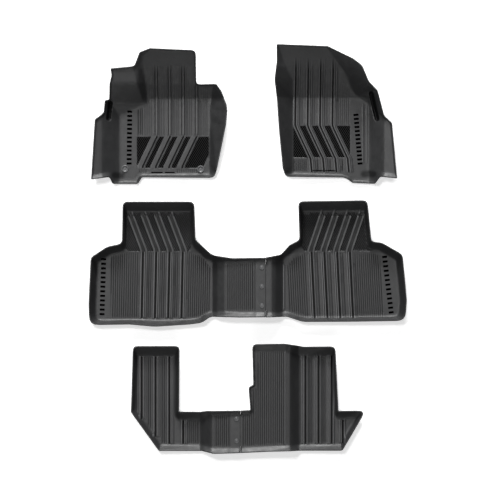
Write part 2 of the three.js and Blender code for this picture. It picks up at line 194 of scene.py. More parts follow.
class Side:
    """The upper (+1) or lower (-1) side of a CAD mat."""

    def __init__(self, node, way):
        shape = bmesh.new()
        shape.from_mesh(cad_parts[node].data)
        origin = Vector((*ORIGIN[node], 0))
        for vertex in shape.verts:
            vertex.co = vertex.co / MM - origin
        bmesh.ops.remove_doubles(shape, verts=shape.verts, dist=SAME_POINT)
        shape.normal_update()
        shape.verts.index_update()
        facing = [
            face for face in shape.faces
            if face.normal.z * way > FACING and face.calc_area() > LEAST_FACE
        ]
        own = set(facing)
        faces = [[v.index for v in face.verts] for face in facing]
        at = [v.co.copy() for v in shape.verts]
        self.flat = BVHTree.FromPolygons([(p.x, p.y, 0) for p in at], faces)
        self.planes = []
        for a, b, c in (face[:3] for face in faces):
            normal = (at[b] - at[a]).cross(at[c] - at[a])
            self.planes.append((normal, normal.dot(at[a])))
        self.creases, follow = [], {}
        for edge in shape.edges:
            beside = [face for face in edge.link_faces if face in own]
            ends = [(v.co.x, v.co.y) for v in edge.verts]
            if len(beside) == 2 and beside[0].normal.angle(beside[1].normal) > CREASE:
                self.creases.append(ends)
            if len(beside) == 1:
                for loop in edge.link_loops:
                    if loop.face in own:
                        follow[loop.vert.index] = loop.link_loop_next.vert.index
        self.loops = [np.array([(at[i].x, at[i].y) for i in chain]) for chain in chains(follow)]
        self.loops.sort(key=lambda loop: -abs(area(loop)))  # the outline, and then the holes
        shape.free()

    def height(self, x, y):
        spot, _, face, _ = self.flat.find_nearest((x, y, 0))
        normal, offset = self.planes[face]
        return (offset - normal.x * spot.x - normal.y * spot.y) / normal.z

    def heights(self, points, soften=None):
        """The height at each point, averaged over a disc of its own radius in soften."""
        exact = np.array([self.height(x, y) for x, y in points])
        if soften is None:
            return exact
        around = np.zeros(len(points))
        wide = np.nonzero(soften > 0.05)[0]
        for turn in SOFT_TURNS:
            move = np.array([math.cos(turn), math.sin(turn)])
            for i in wide:
                x, y = points[i] + move * soften[i]
                around[i] += self.height(x, y) / len(SOFT_TURNS)
        exact[wide] = (1 - SOFT_SHARE) * exact[wide] + SOFT_SHARE * around[wide]
        return exact


# ---- Moulded detail ----

CLIP_FADE = 4  # how far inside its region a rib or groove has its whole height
KNURL_EDGE = 1.2  # how far inside its region a knurl has its whole depth
TOOTH_DEEP = 9  # the depth inside a region that a knurl's teeth are thinned out as if at


class Moulding:
    """Something moulded into the top of a mat. relief gives what it adds to the height at each
    point, and lines the paths that the mesh is held to."""

    through = False  # whether the underside follows it
    # which material its top faces take; the materials differ in gloss and in how much painted shade
    # their grooves and recesses get
    finish_and_shade = 0

    def finished(self, centres):
        """Which faces take its material, with the gloss and the painted shade in grooves that the
        material gives.
        """
        return np.zeros(len(centres), bool)


class Track(Moulding):
    """A rib or groove of one section along a path. The path is (y, x) knots; the section is
    (offset in x, height) knots. A region clips it, and it fades to nothing at the clip and at
    each faded end."""

    def __init__(self, path, section, region=None, fades=(4, 4), covers=None):
        self.ys, self.xs = zip(*sorted(path))
        self.offsets, self.heights = zip(*section)
        self.region = region
        self.fades = fades
        self.covers = covers  # the offsets between which no knurl is cut

    def across(self, points):
        return points[:, 0] - np.interp(points[:, 1], self.ys, self.xs)

    def window(self, points):
        y = points[:, 1]
        low = (y - self.ys[0]) / self.fades[0] if self.fades[0] else (y >= self.ys[0]) * 1.0
        high = (self.ys[-1] - y) / self.fades[1] if self.fades[1] else (y < self.ys[-1]) * 1.0
        share = np.clip(np.minimum(low, high), 0, 1)
        if self.region is not None:
            share = np.minimum(share, np.clip(depth_inside(points, self.region) / CLIP_FADE, 0, 1))
        return share

    def relief(self, points):
        made = np.zeros(len(points))
        off = self.across(points)
        near = np.nonzero((off > self.offsets[0]) & (off < self.offsets[-1]))[0]
        if len(near):
            part = points[near]
            made[near] = np.interp(off[near], self.offsets, self.heights) * self.window(part)
        return made

    def lines(self):
        knots = {self.ys[0], self.ys[-1], self.ys[0] + self.fades[0], self.ys[-1] - self.fades[1]}
        ys = sorted(knots | set(self.ys))
        for offset in self.offsets:
            path = [(float(np.interp(y, self.ys, self.xs)) + offset, y) for y in ys]
            yield from clipped(resample(path, 6), self.region)


def clipped(points, region):
    """The runs of a path inside a region, ending on its sides."""
    if region is None:
        yield points
        return
    fine = resample(points, 1.5)
    yield from stretches(fine, depth_inside(fine, region))


def stretches(points, depths):
    """The stretches of a path whose depth is above 0, thinned out."""
    run = []
    for at, deep in zip(points, depths):
        if deep > 0:
            run.append((at, deep))
            continue
        if len(run) > 2:
            yield thinned(run)
        run = []
    if len(run) > 2:
        yield thinned(run)


def thinned(run):
    """A run's points, closer together where it is near its region's sides."""
    kept = [run[0][0]]
    for at, deep in run[1:-1]:
        if np.linalg.norm(at - kept[-1]) > (2.5 if deep < 6 else 6):
            kept.append(at)
    kept.append(run[-1][0])
    return np.array(kept)


class Knurl(Moulding):
    """A pad cut all over with fine slanted teeth."""

    def __init__(self, region, angle, pitch=7.5, depth=2.2, sunk=0.5, around=(), finish_and_shade=1):
        self.region, self.pitch, self.depth, self.sunk = region, pitch, depth, sunk
        self.way = np.array([math.cos(math.radians(angle)), math.sin(math.radians(angle))])
        self.across = np.array([-self.way[1], self.way[0]])
        self.around, self.finish_and_shade = around, finish_and_shade

    def share(self, points):
        share = np.clip(depth_inside(points, self.region) / KNURL_EDGE, 0, 1)
        for track in self.around:
            low, high = track.covers
            off = track.across(points)
            beyond = np.maximum(low - off, off - high)
            in_range = (points[:, 1] > track.ys[0]) & (points[:, 1] < track.ys[-1])
            beside = np.clip(beyond / KNURL_EDGE, 0, 1)
            share = np.where(in_range, np.minimum(share, beside), share)
        return share

    # Its faces take the cut material, or the scored one on the second row's front pads; both paint
    # shade into the valleys between the teeth.
    def finished(self, centres):
        return (self.share(centres) > 0.6) & (depth_inside(centres, self.region) > 0)

    def relief(self, points):
        made = np.zeros(len(points))
        near = np.nonzero(depth_inside(points, self.region) > 0)[0]
        if len(near):
            phase = (points[near] @ self.across) / self.pitch
            tooth = np.abs(phase - np.floor(phase) - 0.5) * 2
            made[near] = -self.share(points[near]) * (self.sunk + self.depth * tooth)
        return made

    def lines(self):
        corners = np.asarray(self.region, float)
        yield resample(closed(corners), 6)
        yield resample(inset(corners, KNURL_EDGE), 6)
        for track in self.around:
            for edge in (track.covers[0] - KNURL_EDGE, track.covers[1] + KNURL_EDGE):
                path = [(x + edge, y) for y, x in zip(track.ys, track.xs)]
                yield from clipped(resample(path, 6), self.region)
        cast = corners @ self.across / self.pitch * 2
        reach = corners @ self.way
        for k in range(math.ceil(cast.min()), math.floor(cast.max()) + 1):
            foot = self.across * k * self.pitch / 2
            line = resample([foot + self.way * reach.min(), foot + self.way * reach.max()], 1.5)
            yield from stretches(line, np.where(self.share(line) > 0, TOOTH_DEEP, 0))


class Patch(Moulding):
    """A recess or raised place with a closed outline and sloping sides."""

    def __init__(self, outline, height, slope=0.8, finish_and_shade=0, through=False, rounded=False):
        self.outline = np.asarray(outline, float)
        self.height, self.slope, self.finish_and_shade = height, slope, finish_and_shade
        self.through, self.rounded = through, rounded

    def finished(self, centres):
        return depth_inside(centres, self.outline) > 0.3

    def relief(self, points):
        made = np.zeros(len(points))
        low, high = self.outline.min(0), self.outline.max(0)
        near = np.nonzero(((points > low) & (points < high)).all(1))[0]
        if len(near):
            share = np.clip(depth_inside(points[near], self.outline) / self.slope, 0, 1)
            if self.rounded:
                share = share * share * (3 - 2 * share)
            made[near] = self.height * share
        return made

    def lines(self):
        yield resample(closed(self.outline), 5)
        steps = (0.33, 0.67, 1) if self.rounded else (1,)
        for share in steps:
            yield resample(closed(inset(self.outline, self.slope * share)), 5)


def bar(centre, size, turn=0.0):
    """A plain rectangular recess."""
    cosine, sine = math.cos(turn), math.sin(turn)
    corners = [
        (
            centre[0] + (cosine * u * size[0] - sine * v * size[1]) / 2,
            centre[1] + (sine * u * size[0] + cosine * v * size[1]) / 2,
        )
        for u, v in [(-1, -1), (1, -1), (1, 1), (-1, 1)]
    ]
    # Its faces take the cut material, whose painted shade turns the recess black.
    return Patch(corners, -2.0, finish_and_shade=1)


def column(top, bottom, count, size=(22, 10)):
    """Plain bars in a row, from top to bottom."""
    top, bottom = np.array(top, float), np.array(bottom, float)
    turn = math.atan2(top[0] - bottom[0], top[1] - bottom[1])
    return [bar(top + (bottom - top) * k / (count - 1), size, -turn) for k in range(count)]


def capsule(start, end, radius, count=9):
    """The outline of a slot with round ends, anticlockwise."""
    start, end = np.array(start, float), np.array(end, float)
    heading = math.atan2(*(end - start)[::-1])
    turns = np.linspace(-math.pi / 2, math.pi / 2, count)
    tip = [end + radius * np.array([math.cos(heading + t), math.sin(heading + t)]) for t in turns]
    tail = [
        start - radius * np.array([math.cos(heading + t), math.sin(heading + t)]) for t in turns
    ]
    return np.array(tip + tail)


FINE = [(-2.4, 0), (0, -1.2), (2.4, 0)]
FAINT = [(-2.4, 0), (0, -0.8), (2.4, 0)]
PAIR = [
    (-12.5, 0), (-11, 0.8), (-8.8, 0.8), (-7, -1.4), (-5.6, -1.4), (-4, 0.8), (4, 0.8),
    (5.6, -1.4), (7, -1.4), (8.8, 0.8), (11, 0.8), (12.5, 0),
]
# Two ribs beside a groove, and a third further out.
DOUBLE = [
    (-13, 0), (-11.3, 1.9), (-6, 1.9), (-3, -2), (2.5, -2), (4.5, 1.9), (8.5, 1.9),
    (10.5, -0.8), (12.5, 1.9), (16.5, 1.9), (18.3, 0),
]
# The outer two of those, where they run on through a knurled pad.
SPREAD = [
    (-13.5, -0.9), (-12, 1.9), (-5, 1.9), (-3.5, -0.9), (9.5, -0.9), (11, 1.9), (18, 1.9),
    (19.5, -0.9),
]


def mirrored(section):
    return [(-offset, height) for offset, height in reversed(section)]


def fine(spots, low, high, region, lean=0.0, fades=(4, 4), section=FINE):
    """Straight fine grooves at the given places, leaning by lean over their length."""
    return [Track([(low, x - lean), (high, x)], section, region, fades) for x in spots]


def spread_out(left, right, pitch=9.2):
    """Places for fine grooves in a strip, evenly spaced clear of both its sides."""
    count = max(1, round((right - left) / pitch) - 1)
    return [left + (right - left) * (k + 1) / (count + 1) for k in range(count)]


def between(centres, reach, left, right, pitch=9.2):
    """Places for fine grooves in the gaps between ribs that reach so far to each side."""
    stops = [left] + [edge for c in centres for edge in (c + reach[0], c + reach[1])] + [right]
    return [x for a, b in zip(stops[::2], stops[1::2]) if b - a > 12 for x in spread_out(a, b, pitch)]


# ---- Driver mat ----

PAD = [(-64, 230), (-52, 60), (-70, 44), (-70, -84), (216, -84), (214, 128), (154, 138), (152, 230)]
STRIP = [(-99, 34), (-99, -84), (-71, -84), (-71, 42)]
HEEL = [(-99, -88), (-99, -226), (190, -226), (216, -168), (216, -88)]
REAR = [(-92, -230), (-92, -250), (185, -250), (165, -230)]
BAND = [
    (-11.5, -1.2), (-10, 0.2), (10, 0.2), (11.5, -2.4), (17, -2.4), (18.2, 0.2), (24, 0.2),
    (25.5, -1.2),
]
pairs = [-13.5, 44.5, 104, 163]
bands = [
    Track([(-86, x - 24), (-102, x - 32), (-217, x - 87), (-229, x - 89)], BAND, fades=(3, 3),
          covers=(-11.5, 25.5))
    for x in (0, 57.5, 116, 174)
]
driver = [
    *(Track([(-84, x), (230, x)], PAIR, PAD, fades=(4, 40)) for x in pairs),
    *fine(between(pairs, (-13, 13), -72, 218), -90, 190, PAD, fades=(4, 120), section=FAINT),
    *fine([-93, -84, -76], -90, 45, STRIP),
    *bands,
    Knurl(HEEL, -58, around=bands),
    *fine([x for x in spread_out(-96, 182) if not -50 < x < 80], -252, -228, REAR),
    bar((-11, -246), (52, 6)),
    bar((45, -246), (44, 6)),
    *column((-131, 22), (-134, -206), 13),
    # A deep pocket, which the rubber's relief-driven painted shade makes dark.
    Patch(capsule((-216, 58), (-224, -8), 12), -13, 10, through=True, rounded=True),
    Patch(capsule((-196, -258), (-166, -262), 21), -1.4, 16, rounded=True),
]

# ---- Passenger mat ----

PAD = [(-187, 214), (-187, -45), (64, -45), (64, 96), (4, 214)]
HEEL = [(-185, -48), (-185, -188), (64, -188), (64, -48)]
REAR = [(-187, -192), (-187, -251), (66, -251), (66, -192)]
RUN = [
    (-10.5, 0), (-9, 1.3), (-4, 1.3), (-2, -2), (2, -2), (4, 1.3), (9.5, 1.3), (11, -0.8),
    (12.5, 1.3), (17, 1.3), (18.5, 0),
]
runs = [
    Track([(-256, x - 104), (-192, x - 110), (-182, x - 115), (-60, x - 172), (-45, x - 177),
           (250, x - 174)], RUN, fades=(4, 60), covers=(-10.5, 18.5))
    for x in (0, 54.5, 109, 163.5)
]
lanes = [x - 176 for x in (0, 54.5, 109, 163.5)]
rears = [x - 108 for x in (0, 54.5, 109, 163.5)]
passenger = [
    *runs,
    *fine(between(lanes, (-12, 19.5), -190, 68), -50, 190, PAD, fades=(4, 120), section=FAINT),
    Knurl(HEEL, 58, around=runs),
    *fine(between(rears, (-12, 19.5), -190, 70), -254, -190, REAR),
    bar((-77, -246), (46, 6)),
    bar((-24, -246), (46, 6)),
    *column((90, 0), (108, -214), 13),
    *(Track([(-215, x), (48, x)], [(-3, 0), (-1.5, 0.9), (1.5, 0.9), (3, 0)]) for x in (121, 137)),
    # A deep pocket, which the rubber's relief-driven painted shade makes dark.
    Patch(capsule((156, 92), (182, -18), 12), -12, 10, through=True, rounded=True),
    Patch(capsule((128, -262), (166, -262), 22), -1.4, 16, rounded=True),
]

# ---- Second row ----

WELL = [
    (-604, 36), (-604, -243), (-215, -242), (-158, -205), (-158, -20), (-192, 28), (-245, 50),
    (-540, 50),
]
FRONT_PAD = [(-534, 227), (-536, 66), (-522, 54), (-262, 54), (-249, 64), (-249, 227)]
TOP = [(-98, 6), (-98, -210), (37, -210), (37, 7)]
groups = [-459 + 58.3 * k for k in range(4)]
spreads = [
    Track([(54, x), (66, x - 3), (214, x - 58)], SPREAD, fades=(0, 6), covers=(-13.5, 19.5))
    for x in groups
]
tips = [
    Track([(214, x - 58), (232, x - 65)], [(9.5, 0), (11, 1.9), (18, 1.9), (19.5, 0)],
          fades=(0, 4), covers=(9.5, 19.5))
    for x in groups
]
second_left = [
    *(Track([(-242, x - 6), (54, x)], DOUBLE, fades=(3, 0)) for x in groups),
    *spreads,
    *tips,
    *fine(between(groups, (-14, 20), -606, -155), -244, 52, WELL, lean=6),
    Knurl(FRONT_PAD, 60, around=spreads + tips, finish_and_shade=2),
    *fine(spread_out(-104, 40), -212, 10, TOP),
    *column((-633, 20), (-640, -222), 13),
]

WELL = [
    (168, -15), (168, -205), (235, -240), (606, -238), (584, 36), (560, 48), (256, 50), (205, 28),
]
FRONT_PAD = [(242, 227), (238, 66), (250, 56), (556, 56), (532, 66), (520, 227)]
groups = [281 + 56.3 * k for k in range(4)]
spreads = [
    Track([(54, x), (68, x + 3), (214, x + 52)], mirrored(SPREAD), fades=(0, 6),
          covers=(-19.5, 13.5))
    for x in groups
]
tips = [
    Track([(214, x + 52), (240, x + 61)], [(-19.5, 0), (-18, 1.9), (-11, 1.9), (-9.5, 0)],
          fades=(0, 4), covers=(-19.5, -9.5))
    for x in groups
]
second_right = [
    *(Track([(-240, x + 14), (54, x)], mirrored(DOUBLE), fades=(3, 0)) for x in groups),
    *spreads,
    *tips,
    *fine(between(groups, (-20, 14), 166, 600), -242, 52, WELL, lean=-14),
    Knurl(FRONT_PAD, -60, around=spreads + tips, finish_and_shade=2),
    Track([(-206, 160), (0, 160)], [(-4, 0), (-2, 1.8), (2, 1.8), (4, 0)], fades=(10, 10)),
    *column((603, 30), (632, -214), 13),
]

# ---- Third row ----

ARM = [(-490, 184), (-492, -60), (-382, -203), (-318, -203), (-318, 184)]
LOW = [(-314, -92), (-314, -203), (-214, -203), (-214, -92)]
DECK = [(-152, -70), (-152, -212), (-78, -214), (-78, -70)]
groups = [-467 + 61 * k for k in range(3)]
third_left = [
    *(Track([(end, x), (186, x)], DOUBLE, fades=(3, 3))
      for x, end in zip(groups, (-92, -170, -202))),
    Track([(-202, -284), (-94, -284)], DOUBLE, fades=(3, 3)),
    *fine(between(groups, (-14, 20), -496, -316), -206, 188, ARM),
    *fine(spread_out(-264, -212), -206, -90, LOW),
    *fine(spread_out(-158, -76), -214, -68, DECK),
]

DECK = [(42, 208), (40, 52), (16, 34), (22, -66), (-26, -68), (-26, -212), (180, -206), (180, 212)]
FOOT = [(230, 188), (230, -203), (378, -203), (370, 188)]
WING = [(400, -92), (400, -198), (424, -192), (466, -92)]
groups = [252 + 57.5 * k for k in range(3)]
third_right = [
    *(Track([(-202, x), (190, x)], mirrored(DOUBLE), fades=(3, 3)) for x in groups),
    Track([(-198, 416), (-92, 416)], mirrored(DOUBLE), fades=(3, 3)),
    *fine(between(groups, (-20, 14), 226, 388), -206, 190, FOOT),
    *fine(spread_out(-30, 186), -214, 214, DECK),
    Track([(-206, 163), (210, 163)], [(-5, 0), (-2.5, 1.4), (2.5, 1.4), (5, 0)], fades=(6, 6)),
]

DETAIL = {
    "driver_mat": driver,
    "passenger_mat": passenger,
    "second_row_left_mat": second_left,
    "second_row_right_mat": second_right,
    "third_row_left_mat": third_left,
    "third_row_right_mat": third_right,
}
BODY = {
    "driver_mat": "driver",
    "passenger_mat": "passenger",
    "second_row_left_mat": "second_row_left",
    "second_row_right_mat": "second_row_right",
    "third_row_left_mat": "third_row_left",
    "third_row_right_mat": "third_row_right",
}


# ---- Materials ----

PATCHES, SPECKS, DULLNESS = 9.0, 260.0, 40.0  # how often the colour and the roughness vary, per metre
UNEVEN = 0.06  # how much the roughness varies, up and down
WEAR_AND_SHADE_AT = 2.0  # the relief, in millimetres, at which a crest is paler in full (partly rubbed wear, partly painted highlight) and a groove is darker in full (painted shade)
GRAIN_DEPTH = 0.0006
NOISE_RANGE = (0.3, 0.7)  # what a noise texture mostly stays between


def map_range(tree, value, between, results):
    """A socket that goes from one result to the other as the value goes between two numbers."""
    ramp = tree.nodes.new("ShaderNodeMapRange")
    ramp.inputs["From Min"].default_value, ramp.inputs["From Max"].default_value = between
    ramp.inputs["To Min"].default_value, ramp.inputs["To Max"].default_value = results
    tree.links.new(value, ramp.inputs["Value"])
    return ramp.outputs["Result"]


def material(name, tone, roughness, grain, grain_size, mottling=0.12, wear_and_shade=0.0, gloss=0.5):
    """A moulded surface. Its crests are paler and shinier by a given share, partly rubbed wear and
    partly painted highlight, and the bottoms of its grooves and recesses are as much darker and
    duller, which is painted shade."""
    made = bpy.data.materials.new(name)
    made.use_nodes = True
    tree = made.node_tree
    nodes, links = tree.nodes, tree.links
    shader = next(n for n in nodes if n.type == "BSDF_PRINCIPLED")
    place = nodes.new("ShaderNodeTexCoord")

    def noise(scale, detail=3.0):
        made_noise = nodes.new("ShaderNodeTexNoise")
        made_noise.inputs["Scale"].default_value = scale
        made_noise.inputs["Detail"].default_value = detail
        links.new(place.outputs["Object"], made_noise.inputs["Vector"])
        return made_noise.outputs["Fac"]

    def spread(value, between, centre, reach):
        return map_range(tree, value, between, (centre - reach, centre + reach))

    def product(first, second):
        mix = nodes.new("ShaderNodeMath")
        mix.operation = "MULTIPLY"
        for socket, value in zip(mix.inputs, (first, second)):
            if isinstance(value, float):
                socket.default_value = value
            else:
                links.new(value, socket)
        return mix.outputs[0]

    broad = spread(noise(PATCHES), NOISE_RANGE, 1, mottling)
    speck = spread(noise(SPECKS, 2.0), NOISE_RANGE, 1, mottling)
    # Painted shade and highlight from the relief: grooves, recesses and pockets darker and duller as
    # painted shade, crests paler and shinier, partly rubbed wear and partly painted highlight.
    relief_height = nodes.new("ShaderNodeAttribute")
    relief_height.attribute_name = "relief"
    worn_and_shaded = spread(relief_height.outputs["Fac"], (-WEAR_AND_SHADE_AT, WEAR_AND_SHADE_AT), 1, wear_and_shade)
    colour = nodes.new("ShaderNodeVectorMath")
    colour.operation = "SCALE"
    colour.inputs[0].default_value = tone
    links.new(product(product(broad, speck), worn_and_shaded), colour.inputs["Scale"])
    links.new(colour.outputs[0], shader.inputs["Base Color"])
    dullness = spread(noise(DULLNESS), NOISE_RANGE, roughness, UNEVEN)
    links.new(dullness, shader.inputs["Roughness"])
    links.new(product(gloss, worn_and_shaded), shader.inputs["Specular IOR Level"])
    bump = nodes.new("ShaderNodeBump")
    bump.inputs["Strength"].default_value = grain
    bump.inputs["Distance"].default_value = GRAIN_DEPTH
    links.new(noise(grain_size, 4.0), bump.inputs["Height"])
    links.new(bump.outputs["Normal"], shader.inputs["Normal"])
    return made


# Every liner rubber darkens its grooves and recesses as painted shade and pales its crests, partly as
# rubbed wear and partly as painted highlight. The cut one, for knurls and bars, does it in full, so
# that their valleys and recesses turn black as painted shade; the scored one, for the second row's
# front pads, does it least.
RUBBER = material("liner_rubber", (0.017, 0.0173, 0.018), 0.5, 0.5, 700.0, wear_and_shade=0.8, gloss=0.6)
CUT_AND_SHADED = material("liner_rubber_cut_shaded", (0.02, 0.02, 0.02), 0.7, 0.5, 700.0, 0.2, wear_and_shade=1.0, gloss=0.25)
SCORED = material("liner_rubber_scored", (0.02, 0.0203, 0.021), 0.56, 0.5, 700.0, wear_and_shade=0.5, gloss=0.7)
FINISHES_AND_SHADES = (RUBBER, CUT_AND_SHADED, SCORED)
PLASTIC = material("fastener_plastic", (0.075, 0.076, 0.078), 0.42, 0.25, 900.0, 0.06)


# ---- Building a mat ----

RIM = 4.5  # width of the flat top of a rim
ROUND = 1.2  # the rounding of its outer edge
SHOULDER = 1.2  # from a rim's inner edge to where the wall's own slope begins
RINGS = (0.35, ROUND, RIM - 1, RIM + SHOULDER)  # lines of points this far inside the outline
GRID = 6.5  # between the points that fill a mat
EDGE_STEP = 8  # the longest side of a triangle on an edge or a crease
LEAST_TOP = 1.6  # the lowest that the top is cut, above the ground
LEAST_SHEET = 1.5  # the least thickness left under what is moulded in
SEAT_GAP = 0.3  # around a lock ring
SEAT_WALL = 0.08  # the width in plan of the wall around a lock ring's seat
SEAT_FLAT = 3  # the width of the flat that surrounds it
WELDED = 2e-6  # vertices closer than this, in metres, become one


class Plan:
    """Points, and the edges between them that a triangulation is held to."""

    def __init__(self):
        self.points, self.edges = [], []

    def path(self, path, joined=False):
        first = len(self.points)
        self.points += [tuple(p) for p in path]
        count = len(path)
        self.edges += [(first + i, first + i + 1) for i in range(count - 1)]
        if joined:
            self.edges.append((first + count - 1, first))

    def scatter(self, points):
        self.points += [tuple(p) for p in points]

    def triangulated(self):
        """The points, the triangles, and for each point the numbers that it had in the plan."""
        corners = [Vector((float(x), float(y))) for x, y in self.points]
        made = delaunay_2d_cdt(corners, [tuple(e) for e in self.edges], [], 0, 0.02)
        return np.array([(p.x, p.y) for p in made[0]]), np.array(made[2]), made[3]


def kept(points, faces, outline, holes):
    """The triangles inside the outline and outside the holes, anticlockwise."""
    a, b, c = (points[faces[:, k]] for k in range(3))
    cross = (b[:, 0] - a[:, 0]) * (c[:, 1] - a[:, 1]) - (b[:, 1] - a[:, 1]) * (c[:, 0] - a[:, 0])
    faces = np.where((cross < 0)[:, None], faces[:, [0, 2, 1]], faces)
    centre = (a + b + c) / 3
    keep = inside(centre, outline) > 0
    for hole in holes:
        keep &= inside(centre, hole) == 0
    return faces[keep & (np.abs(cross) > 1e-7)]


def grid(outline, lines, step, margin):
    """Points on a staggered grid, clear of the outline and of every line."""
    low, high = outline.min(0), outline.max(0)
    rows = []
    for j, y in enumerate(np.arange(low[1], high[1], step * 0.87)):
        x = np.arange(low[0] + (j % 2) * step / 2, high[0], step)
        rows.append(np.stack([x, np.full(len(x), y)], 1))
    spots = np.concatenate(rows)
    spots = spots[depth_inside(spots, outline) > margin]
    marks = np.concatenate([resample(line, 2.0) for line in lines]) if lines else np.zeros((0, 2))
    taken = {tuple(cell) for cell in np.floor(marks / 3).astype(int)}
    cells = np.floor(spots / 3).astype(int)
    return spots[[tuple(cell) not in taken for cell in cells]]


def relief(points, detail):
    return sum(item.relief(points) for item in detail)


def softening(edge, soft):
    """The radius that bends are softened over, from the distance to the nearest edge."""
    return np.clip(edge - RIM - SHOULDER, 0, soft)


def top_plan(upper, detail):
    """The points and triangles of a mat's top, in plan."""
    outline = upper.loops[0]
    plan = Plan()
    for loop in upper.loops:
        plan.path(resample(closed(loop), EDGE_STEP)[:-1], joined=True)
    for distance in RINGS:
        plan.path(resample(inset(outline, distance), EDGE_STEP), joined=True)
    lines = [line for item in detail for line in item.lines()]
    for line in lines:
        plan.path(line)
    for ends in upper.creases:
        plan.path(resample(ends, EDGE_STEP))
    plan.scatter(grid(outline, lines, GRID, RIM + 3))
    spots, faces, _ = plan.triangulated()
    faces = kept(spots, faces, outline, upper.loops[1:])
    used = np.unique(faces)
    renumber = np.full(len(spots), -1)
    renumber[used] = np.arange(len(used))
    return spots[used], renumber[faces]


def top_heights(upper, spots, raised, soft):
    """The heights of a mat's top, with a rounded outer edge."""
    rim = clearance(spots, upper.loops[:1])
    soften = softening(clearance(spots, upper.loops), soft)
    drop = ROUND - np.sqrt(np.maximum(ROUND**2 - np.clip(ROUND - rim, 0, ROUND) ** 2, 0))
    return np.maximum(upper.heights(spots, soften) + raised, LEAST_TOP) - drop


def border_of(faces):
    """The sides that only one triangle has."""
    directed = {(int(f[k]), int(f[(k + 1) % 3])) for f in faces for k in range(3)}
    return [(a, b) for a, b in directed if (b, a) not in directed]


def lock_seats():
    """The seats of the lock rings in the driver mat's underside: centre, radius and ceiling."""
    for centre, ring in zip(CAPS, ("left_lock_ring", "right_lock_ring")):
        low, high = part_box(ring)
        yield np.array(centre, float), (high.x - low.x) / 2 / MM + SEAT_GAP, high.z / MM + SEAT_GAP


def bottom_heights(base, lower, upper, detail, seats, soft):
    """The heights of a mat's underside, which stays below its top."""
    through = [item for item in detail if item.through]
    bottoms = lower.heights(base) + relief(base, through)
    edge = clearance(base, upper.loops)
    above = upper.heights(base, softening(edge, soft)) + relief(base, detail)
    bottoms = np.where(edge > RIM, np.minimum(bottoms, above - LEAST_SHEET), bottoms)
    for centre, radius, ceiling in seats:
        away = np.linalg.norm(base - centre, axis=1)
        wall = radius - SEAT_WALL / 2
        bottoms = np.where(away < wall, ceiling, bottoms)
        bottoms = np.where((away >= wall) & (away < radius + SEAT_FLAT), 0.0, bottoms)
    return np.maximum(bottoms, 0)


def mat(node, detail, soft):
    """One mat. Its floor's bends are softened over the radius soft."""
    upper, lower = Side(node, 1), Side(node, -1)
    seats = list(lock_seats()) if node == "driver_mat" else []
    spots, faces = top_plan(upper, detail)
    raised = relief(spots, detail)
    tops = top_heights(upper, spots, raised, soft)

    border = border_of(faces)
    ends = sorted({a for a, _ in border} | {b for _, b in border})
    place = {vertex: i for i, vertex in enumerate(ends)}
    under = Plan()
    under.scatter(spots[ends])
    under.edges += [(place[a], place[b]) for a, b in border]
    for centre, radius, _ in seats:
        under.path(circle(centre, radius), joined=True)
        under.path(circle(centre, radius - SEAT_WALL), joined=True)
    for crease in lower.creases:
        under.path(crease)
    for item in detail:
        if item.through:
            for line in item.lines():
                under.path(line)
    base, floor, sources = under.triangulated()
    floor = kept(base, floor, upper.loops[0], upper.loops[1:])
    bottoms = bottom_heights(base, lower, upper, detail, seats, soft)
    below = {ends[k]: i for i, group in enumerate(sources) for k in group if k < len(ends)}

    count = len(spots)
    points = np.vstack([np.column_stack([spots, tops]), np.column_stack([base, bottoms])])
    walls = []
    for a, b in border:
        c, d = below[a] + count, below[b] + count
        walls += [(b, a, c), (b, c, d)]
    whole = np.vstack([faces, floor[:, ::-1] + count, np.array(walls)])

    points[:, :2] += ORIGIN[node]
    mesh = bpy.data.meshes.new(node + "_moulded")
    mesh.from_pydata((points * MM).tolist(), [], whole.tolist())
    mesh.update()
    for finish_and_shade in FINISHES_AND_SHADES:
        mesh.materials.append(finish_and_shade)
    # Each top face's material, which sets its gloss and how much painted shade its grooves and
    # recesses get.
    face_finish_and_shade = np.zeros(len(whole), np.int32)
    centres = spots[faces].mean(1)
    for item in detail:
        face_finish_and_shade[: len(faces)][item.finished(centres)] = item.finish_and_shade
    # The relief, which the materials turn into painted shade in grooves, recesses and pockets, and
    # into paler crests that are partly wear and partly painted highlight.
    heights = np.zeros(len(points))
    heights[:count] = raised
    mesh.attributes.new("relief", "FLOAT", "POINT").data.foreach_set("value", heights)
    mesh.polygons.foreach_set("material_index", face_finish_and_shade)
    mesh.polygons.foreach_set("use_smooth", np.ones(len(mesh.polygons), bool))
    mesh.set_sharp_from_angle(angle=math.radians(50))
    shape = bmesh.new()
    shape.from_mesh(mesh)
    bmesh.ops.remove_doubles(shape, verts=shape.verts, dist=WELDED)
    bmesh.ops.delete(shape, geom=[v for v in shape.verts if not v.link_faces], context="VERTS")
    shape.to_mesh(mesh)
    shape.free()
    piece = bpy.data.objects.new(node + "_moulded", mesh)
    bpy.context.scene.collection.objects.link(piece)
    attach(piece, BODY[node])
    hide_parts(node)
    return piece


for node, detail in DETAIL.items():
    mat(node, detail, 6 if "second" in node else 9)


# ---- Fasteners ----


